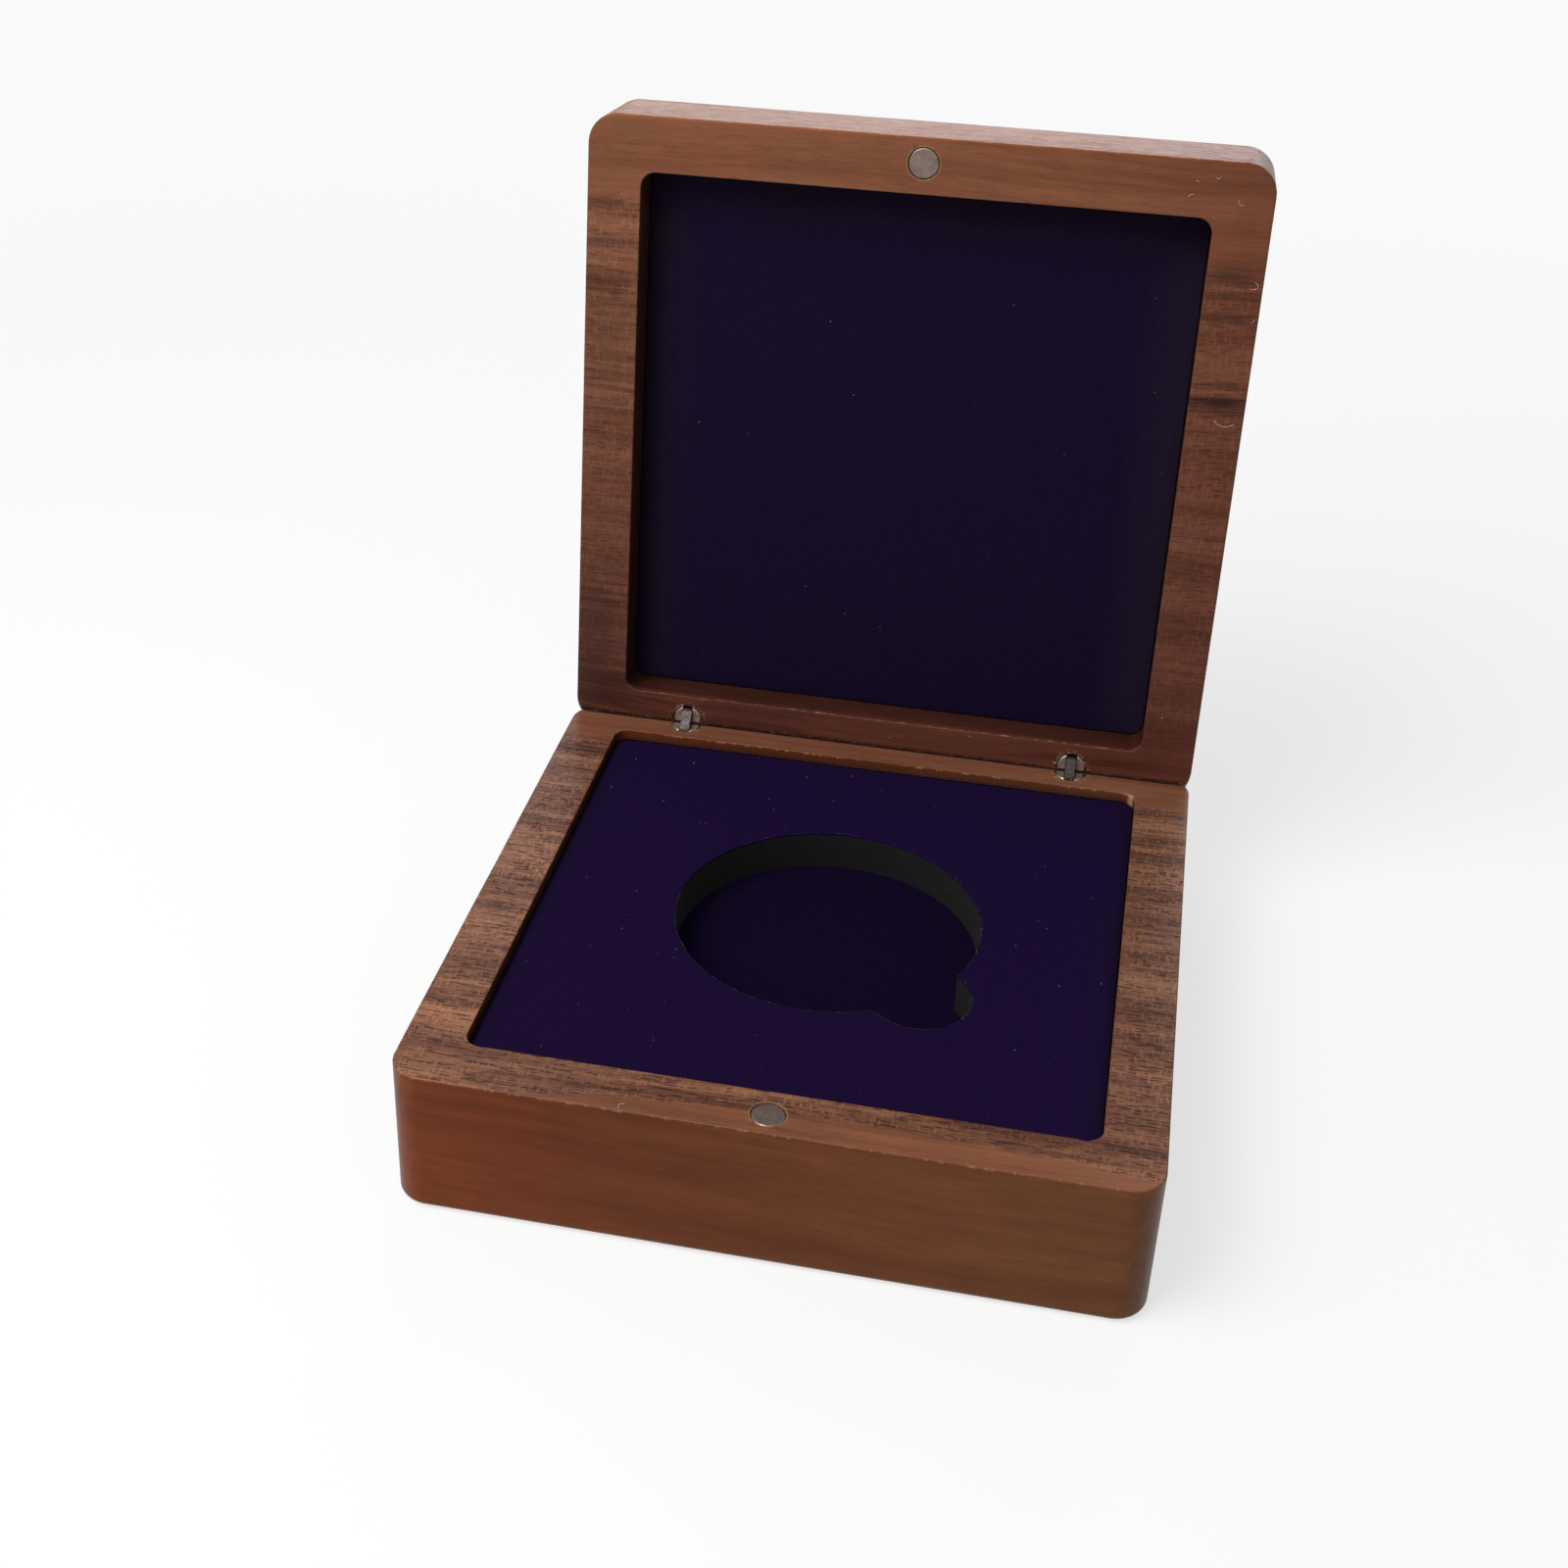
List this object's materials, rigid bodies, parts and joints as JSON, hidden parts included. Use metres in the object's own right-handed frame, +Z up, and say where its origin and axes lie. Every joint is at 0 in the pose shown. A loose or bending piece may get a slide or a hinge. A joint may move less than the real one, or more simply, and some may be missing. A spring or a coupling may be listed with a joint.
{
  "type": "coin display case",
  "caption": "Hinged square hardwood case for one encapsulated coin: base and lid on blind barrel hinges, magnet closure, velvet-faced linings, round recess with a thumb notch.",
  "frame": {"origin": "centre of the flat underside of the base", "axes": "+Z up, +X across the case and along the hinge line, -Y the front with the magnet, +Y the rear with the hinges; the lid is open at rest"},
  "size_m": [0.11, 0.1353, 0.1299],
  "materials": {
    "walnut": "oiled, sanded smooth, open pores",
    "velvet": "flocked velvet, deep indigo",
    "foam": "die-cut closed-cell foam, charcoal",
    "nickel": "scratched nickel plate on a disc magnet",
    "steel": "dull zinc-plated steel"
  },
  "bodies": {
    "base": {"base_case": "walnut", "base_floor_foam": "foam", "base_floor_velvet": "velvet", "coin_insert_foam": "foam", "coin_insert_velvet": "velvet", "base_magnet": "nickel", "left_base_barrel": "steel", "right_base_barrel": "steel", "left_base_pin": "steel", "right_base_pin": "steel"},
    "hinge_links": {"left_hinge_link": "steel", "right_hinge_link": "steel"},
    "lid": {"lid_case": "walnut", "lid_foam": "foam", "lid_velvet": "velvet", "lid_magnet": "nickel", "left_lid_barrel": "steel", "right_lid_barrel": "steel", "left_lid_pin": "steel", "right_lid_pin": "steel"}
  },
  "joints": [
    {"name": "link_swing", "type": "hinge", "parent": "base", "child": "hinge_links", "pos_m": [0, 0.05042, 0.0232], "axis": [1, 0, 0], "range_deg": [0, 48.25]},
    {"name": "lid_swing", "type": "hinge", "parent": "hinge_links", "child": "lid", "pos_m": [0, 0.05247, 0.02503], "axis": [1, 0, 0], "range_deg": [0, 48.25]}
  ],
  "couplings": [
    {"joint": "link_swing", "follows": "lid_swing", "ratio": 1}
  ]
}
